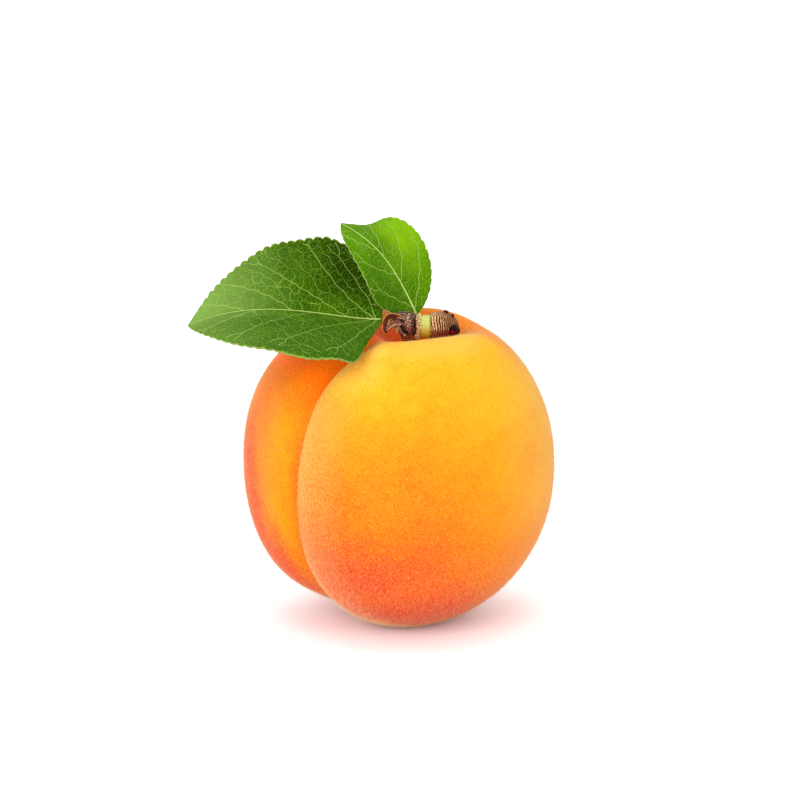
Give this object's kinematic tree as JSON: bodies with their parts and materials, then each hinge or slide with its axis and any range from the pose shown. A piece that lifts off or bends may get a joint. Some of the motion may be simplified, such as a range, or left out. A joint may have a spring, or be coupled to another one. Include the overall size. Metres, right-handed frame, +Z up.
{
  "type": "apricot",
  "caption": "Ripe apricot as picked, with a suture groove and stem cavity, its short woody spur and two toothed green leaves, resting on a small flat spot.",
  "frame": {"origin": "on the flat spot that the fruit rests on, under the middle of the fruit", "axes": "+Z up towards the stem end, -Y towards the front, where the suture shows left of the middle, +X to the right as seen from the front"},
  "size_m": [0.0628, 0.0541, 0.0697],
  "materials": {
    "skin": "matte downy fruit skin, golden orange with a red blush",
    "bark": "rough ringed brown bark, green where it is young",
    "blade": "satin dark green leaf with paler veins",
    "blade_young": "satin bright green leaf with paler veins"
  },
  "bodies": {
    "root": {"fruit": "skin", "spur": "bark", "leaf_large": "blade", "leaf_small": "blade_young"}
  },
  "joints": []
}
